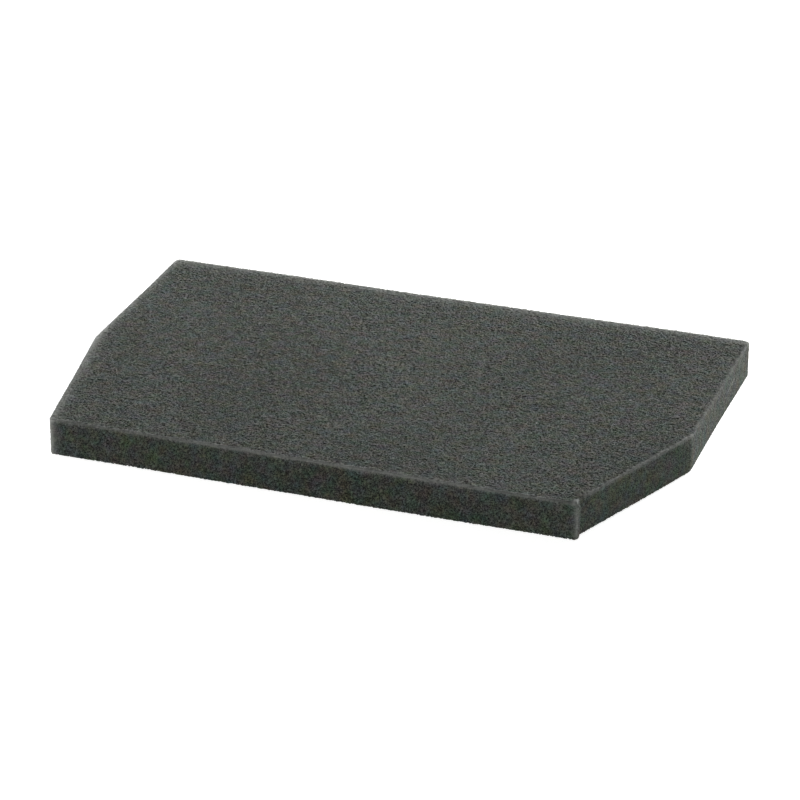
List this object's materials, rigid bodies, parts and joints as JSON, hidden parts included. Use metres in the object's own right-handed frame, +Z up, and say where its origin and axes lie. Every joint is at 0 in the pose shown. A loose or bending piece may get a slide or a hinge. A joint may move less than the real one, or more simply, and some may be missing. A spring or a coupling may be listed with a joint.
{
  "type": "foam air filter pad",
  "caption": "Flat die-cut pad of charcoal open-cell foam with slanting cuts at its front corners, which lies in a small engine's airbox and filters its intake air.",
  "frame": {"origin": "centre of the bounding box's underside, in the plane that the pad lies on", "axes": "+X along the length, from the left edge to the right edge; +Y from the front edge, where the corners are cut, to the rear edge; +Z up through the sheet's thickness"},
  "size_m": [0.196, 0.124, 0.012],
  "materials": {
    "reticulated_foam": "matte open-cell foam, charcoal"
  },
  "bodies": {
    "root": {"filter_foam": "reticulated_foam"}
  },
  "joints": []
}
